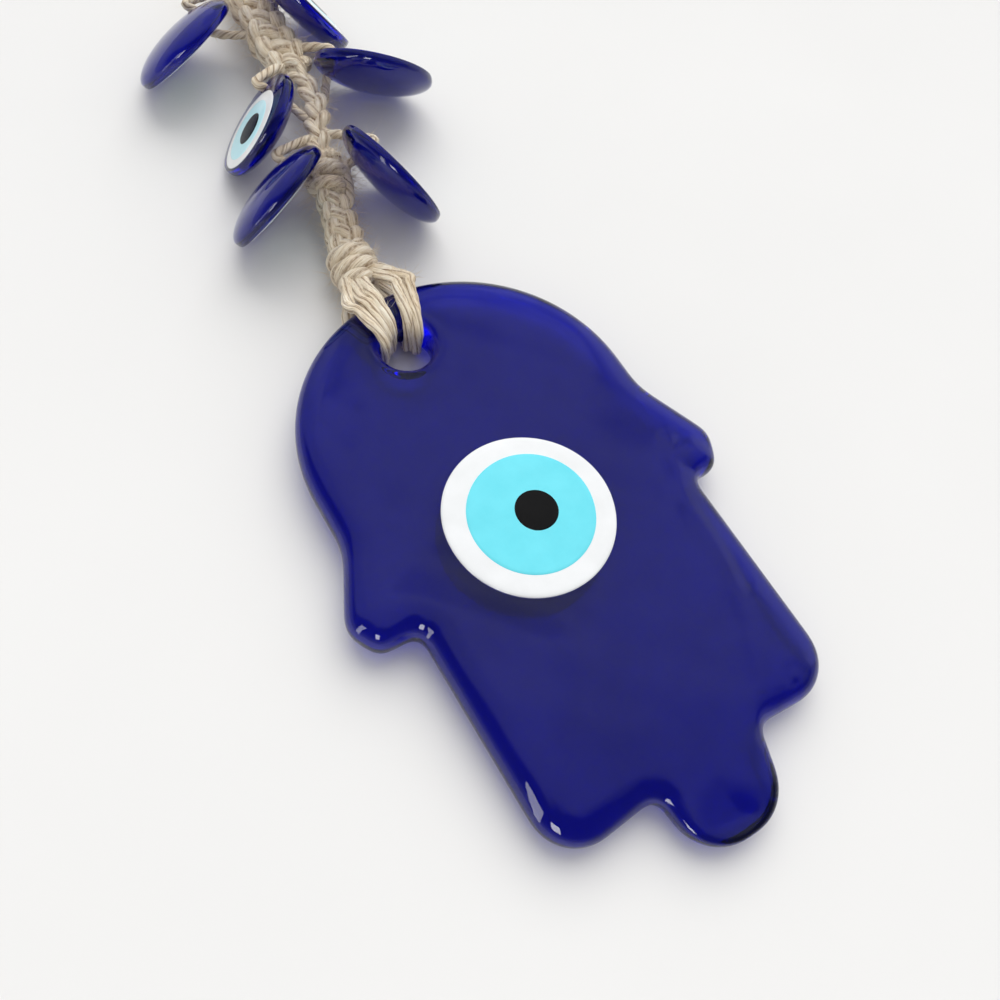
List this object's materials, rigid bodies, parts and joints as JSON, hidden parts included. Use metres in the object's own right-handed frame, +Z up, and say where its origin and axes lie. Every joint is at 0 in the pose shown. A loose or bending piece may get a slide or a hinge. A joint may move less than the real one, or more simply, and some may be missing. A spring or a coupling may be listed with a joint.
{
  "type": "evil eye wall hanging",
  "caption": "Glass hand-shaped wall hanging with a fused eye, on a knotted twine strap strung with flat glass eye beads and ending in a hanging loop.",
  "frame": {"origin": "under the middle of the glass hand, on the surface that the hanging lies on", "axes": "+Y along the hand from the middle finger to the hanging loop, +Z up through the face with the eye, +X to the right seen from the front"},
  "size_m": [0.0806, 0.2729, 0.0243],
  "materials": {
    "cobalt_glass": "fire-polished",
    "white_glass": "opaque fused glass, glossy",
    "turquoise_glass": "opaque fused glass, glossy",
    "black_glass": "opaque fused glass, glossy",
    "hemp_twine": "natural twisted fibre"
  },
  "bodies": {
    "hand": {"glass_hand": "cobalt_glass", "eye_white": "white_glass", "eye_iris": "turquoise_glass", "eye_pupil": "black_glass", "sling_twine_1": "hemp_twine", "sling_twine_2": "hemp_twine", "sling_twine_3": "hemp_twine", "sling_twine_4": "hemp_twine", "sling_twine_5": "hemp_twine"},
    "knot": {"crown_knot": "hemp_twine"},
    "strap": {"braid_lower": "hemp_twine", "braid_middle": "hemp_twine", "braid_upper": "hemp_twine", "top_knot": "hemp_twine", "hanging_loop": "hemp_twine", "bead_1_left_twine": "hemp_twine", "bead_1_right_twine": "hemp_twine", "bead_2_left_twine": "hemp_twine", "bead_2_right_twine": "hemp_twine", "bead_3_left_twine": "hemp_twine", "bead_3_right_twine": "hemp_twine"},
    "bead_1_left": {"bead_1_left_glass": "cobalt_glass", "bead_1_left_white": "white_glass", "bead_1_left_iris": "turquoise_glass", "bead_1_left_pupil": "black_glass"},
    "bead_1_right": {"bead_1_right_glass": "cobalt_glass", "bead_1_right_white": "white_glass", "bead_1_right_iris": "turquoise_glass", "bead_1_right_pupil": "black_glass"},
    "bead_2_left": {"bead_2_left_glass": "cobalt_glass", "bead_2_left_white": "white_glass", "bead_2_left_iris": "turquoise_glass", "bead_2_left_pupil": "black_glass"},
    "bead_2_right": {"bead_2_right_glass": "cobalt_glass", "bead_2_right_white": "white_glass", "bead_2_right_iris": "turquoise_glass", "bead_2_right_pupil": "black_glass"},
    "bead_3_left": {"bead_3_left_glass": "cobalt_glass", "bead_3_left_white": "white_glass", "bead_3_left_iris": "turquoise_glass", "bead_3_left_pupil": "black_glass"},
    "bead_3_right": {"bead_3_right_glass": "cobalt_glass", "bead_3_right_white": "white_glass", "bead_3_right_iris": "turquoise_glass", "bead_3_right_pupil": "black_glass"}
  },
  "joints": [
    {"name": "strap_lift", "type": "hinge", "parent": "hand", "child": "knot", "pos_m": [-0.0023, 0.0715, 0.006], "axis": [1, 0, 0], "range_deg": [0, 70]},
    {"name": "strap_swing", "type": "hinge", "parent": "knot", "child": "strap", "pos_m": [-0.0023, 0.0715, 0.006], "axis": [0, 0, 1], "range_deg": [-20, 20]},
    {"name": "bead_1_left_turn", "type": "hinge", "parent": "strap", "child": "bead_1_left", "pos_m": [-0.00296, 0.09837, 0.00961], "axis": [-0.481, 0.687, 0.5446], "range_deg": [-50, 20]},
    {"name": "bead_1_right_turn", "type": "hinge", "parent": "strap", "child": "bead_1_right", "pos_m": [0.01156, 0.09527, 0.01002], "axis": [-0.8721, -0.2174, -0.4384], "range_deg": [-45, 30]},
    {"name": "bead_2_left_turn", "type": "hinge", "parent": "strap", "child": "bead_2_left", "pos_m": [0.00279, 0.11783, 0.01113], "axis": [-0.6461, 0.4869, 0.5878], "range_deg": [-40, 40]},
    {"name": "bead_2_right_turn", "type": "hinge", "parent": "strap", "child": "bead_2_right", "pos_m": [0.01782, 0.12164, 0.00956], "axis": [-0.4917, -0.6293, -0.6018], "range_deg": [-45, 25]},
    {"name": "bead_3_left_turn", "type": "hinge", "parent": "strap", "child": "bead_3_left", "pos_m": [-0.00078, 0.14807, 0.00975], "axis": [-0.4401, 0.5841, 0.682], "range_deg": [-50, 45]},
    {"name": "bead_3_right_turn", "type": "hinge", "parent": "strap", "child": "bead_3_right", "pos_m": [0.0216, 0.15095, 0.00775], "axis": [-0.7991, -0.1266, -0.5878], "range_deg": [-50, 35]}
  ]
}
